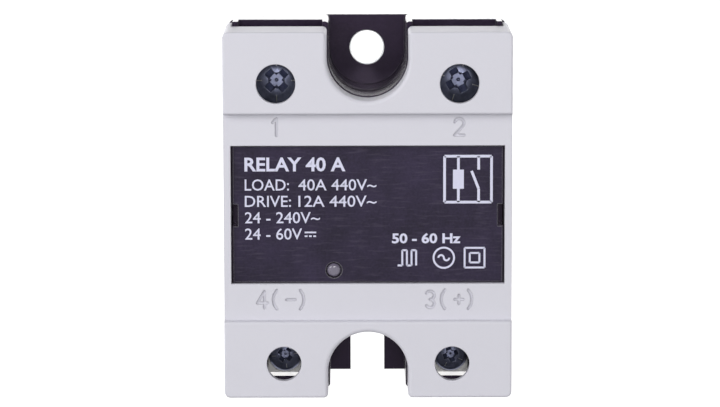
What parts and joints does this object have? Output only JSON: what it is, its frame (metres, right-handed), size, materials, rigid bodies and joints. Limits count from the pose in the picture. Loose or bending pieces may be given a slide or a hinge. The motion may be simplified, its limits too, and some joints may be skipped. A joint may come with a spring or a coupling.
{
  "type": "solid state relay",
  "caption": "Panel-mount solid state relay: aluminium base plate, black housing, light grey clip-on cover with label window, screw clamp terminals and a status light.",
  "frame": {"origin": "middle of the footprint at the control end, on which the relay stands", "axes": "+X across the relay, +Z from the control terminals up to the power terminals, +Y from the cover to the mounting face"},
  "size_m": [0.0448, 0.0288, 0.0582],
  "materials": {
    "plate_aluminium": "sawn and brushed bare aluminium",
    "seal_rubber": "matt silicone",
    "housing_plastic": "satin black moulding",
    "label_print": "pale screen print",
    "cover_plastic": "fine-grained light grey moulding",
    "label_film": "dark film with pale print",
    "guide_plastic": "clear moulding",
    "alumina": "matt white",
    "copper": "bare copper",
    "silicon": "metallised silicon",
    "board_laminate": "solder-masked laminate",
    "tinned_metal": "tin plated",
    "component_black": "moulded component body",
    "capacitor_can": "sleeved aluminium can",
    "resistor_body": "lacquered",
    "lamp_plastic": "diffused green",
    "film_capacitor": "yellow case",
    "varistor_coating": "blue dip coating",
    "zinc_steel": "blue zinc plated",
    "nickel_plate": "bright nickel plated"
  },
  "bodies": {
    "relay": {"base_plate": "plate_aluminium", "base_seal": "seal_rubber", "housing": "housing_plastic", "label": "label_film", "light_guide": "guide_plastic", "ceramic_substrate": "alumina", "line_conductor": "copper", "load_conductor": "copper", "forward_thyristor": "silicon", "reverse_thyristor": "silicon", "forward_strap": "copper", "reverse_strap": "copper", "circuit_board": "board_laminate", "gate_pins": "tinned_metal", "optocoupler": "component_black", "optocoupler_legs": "tinned_metal", "bridge_rectifier": "component_black", "smoothing_capacitor": "capacitor_can", "input_resistors": "resistor_body", "status_light": "lamp_plastic", "snubber_capacitor": "film_capacitor", "snubber_resistor": "resistor_body", "varistor": "varistor_coating", "driver_transistors": "component_black", "line_busbar": "tinned_metal", "load_busbar": "tinned_metal", "minus_strip": "tinned_metal", "plus_strip": "tinned_metal", "line_nut": "zinc_steel", "load_nut": "zinc_steel", "minus_nut": "zinc_steel", "plus_nut": "zinc_steel"},
    "cover": {"cover": "cover_plastic"},
    "line_clamp_set": {"line_clamp": "nickel_plate", "line_lock_washer": "zinc_steel"},
    "line_screw": {"line_screw": "zinc_steel"},
    "load_clamp_set": {"load_clamp": "nickel_plate", "load_lock_washer": "zinc_steel"},
    "load_screw": {"load_screw": "zinc_steel"},
    "minus_clamp_set": {"minus_clamp": "nickel_plate", "minus_lock_washer": "zinc_steel"},
    "minus_screw": {"minus_screw": "zinc_steel"},
    "plus_clamp_set": {"plus_clamp": "nickel_plate", "plus_lock_washer": "zinc_steel"},
    "plus_screw": {"plus_screw": "zinc_steel"}
  },
  "joints": [
    {"name": "cover_off", "type": "slide", "parent": "relay", "child": "cover", "axis": [0, -1, 0], "range_m": [0, 0.018]},
    {"name": "line_clamp_lift", "type": "slide", "parent": "relay", "child": "line_clamp_set", "axis": [0, -1, 0], "range_m": [0, 0.003]},
    {"name": "line_screw_turn", "type": "hinge", "parent": "line_clamp_set", "child": "line_screw", "pos_m": [-0.0142, -0.0069, 0.0492], "axis": [0, -1, 0], "range_deg": [0, 1352]},
    {"name": "load_clamp_lift", "type": "slide", "parent": "relay", "child": "load_clamp_set", "axis": [0, -1, 0], "range_m": [0, 0.003]},
    {"name": "load_screw_turn", "type": "hinge", "parent": "load_clamp_set", "child": "load_screw", "pos_m": [0.0142, -0.0069, 0.0492], "axis": [0, -1, 0], "range_deg": [0, 1352]},
    {"name": "minus_clamp_lift", "type": "slide", "parent": "relay", "child": "minus_clamp_set", "axis": [0, -1, 0], "range_m": [0, 0.003]},
    {"name": "minus_screw_turn", "type": "hinge", "parent": "minus_clamp_set", "child": "minus_screw", "pos_m": [-0.0131, -0.0056, 0.0054], "axis": [0, -1, 0], "range_deg": [0, 2162]},
    {"name": "plus_clamp_lift", "type": "slide", "parent": "relay", "child": "plus_clamp_set", "axis": [0, -1, 0], "range_m": [0, 0.003]},
    {"name": "plus_screw_turn", "type": "hinge", "parent": "plus_clamp_set", "child": "plus_screw", "pos_m": [0.0131, -0.0056, 0.0054], "axis": [0, -1, 0], "range_deg": [0, 2162]}
  ],
  "couplings": [
    {"joint": "line_screw_turn", "follows": "line_clamp_lift", "rad_per_m": 7854},
    {"joint": "load_screw_turn", "follows": "load_clamp_lift", "rad_per_m": 7854},
    {"joint": "minus_screw_turn", "follows": "minus_clamp_lift", "rad_per_m": 12566},
    {"joint": "plus_screw_turn", "follows": "plus_clamp_lift", "rad_per_m": 12566}
  ]
}
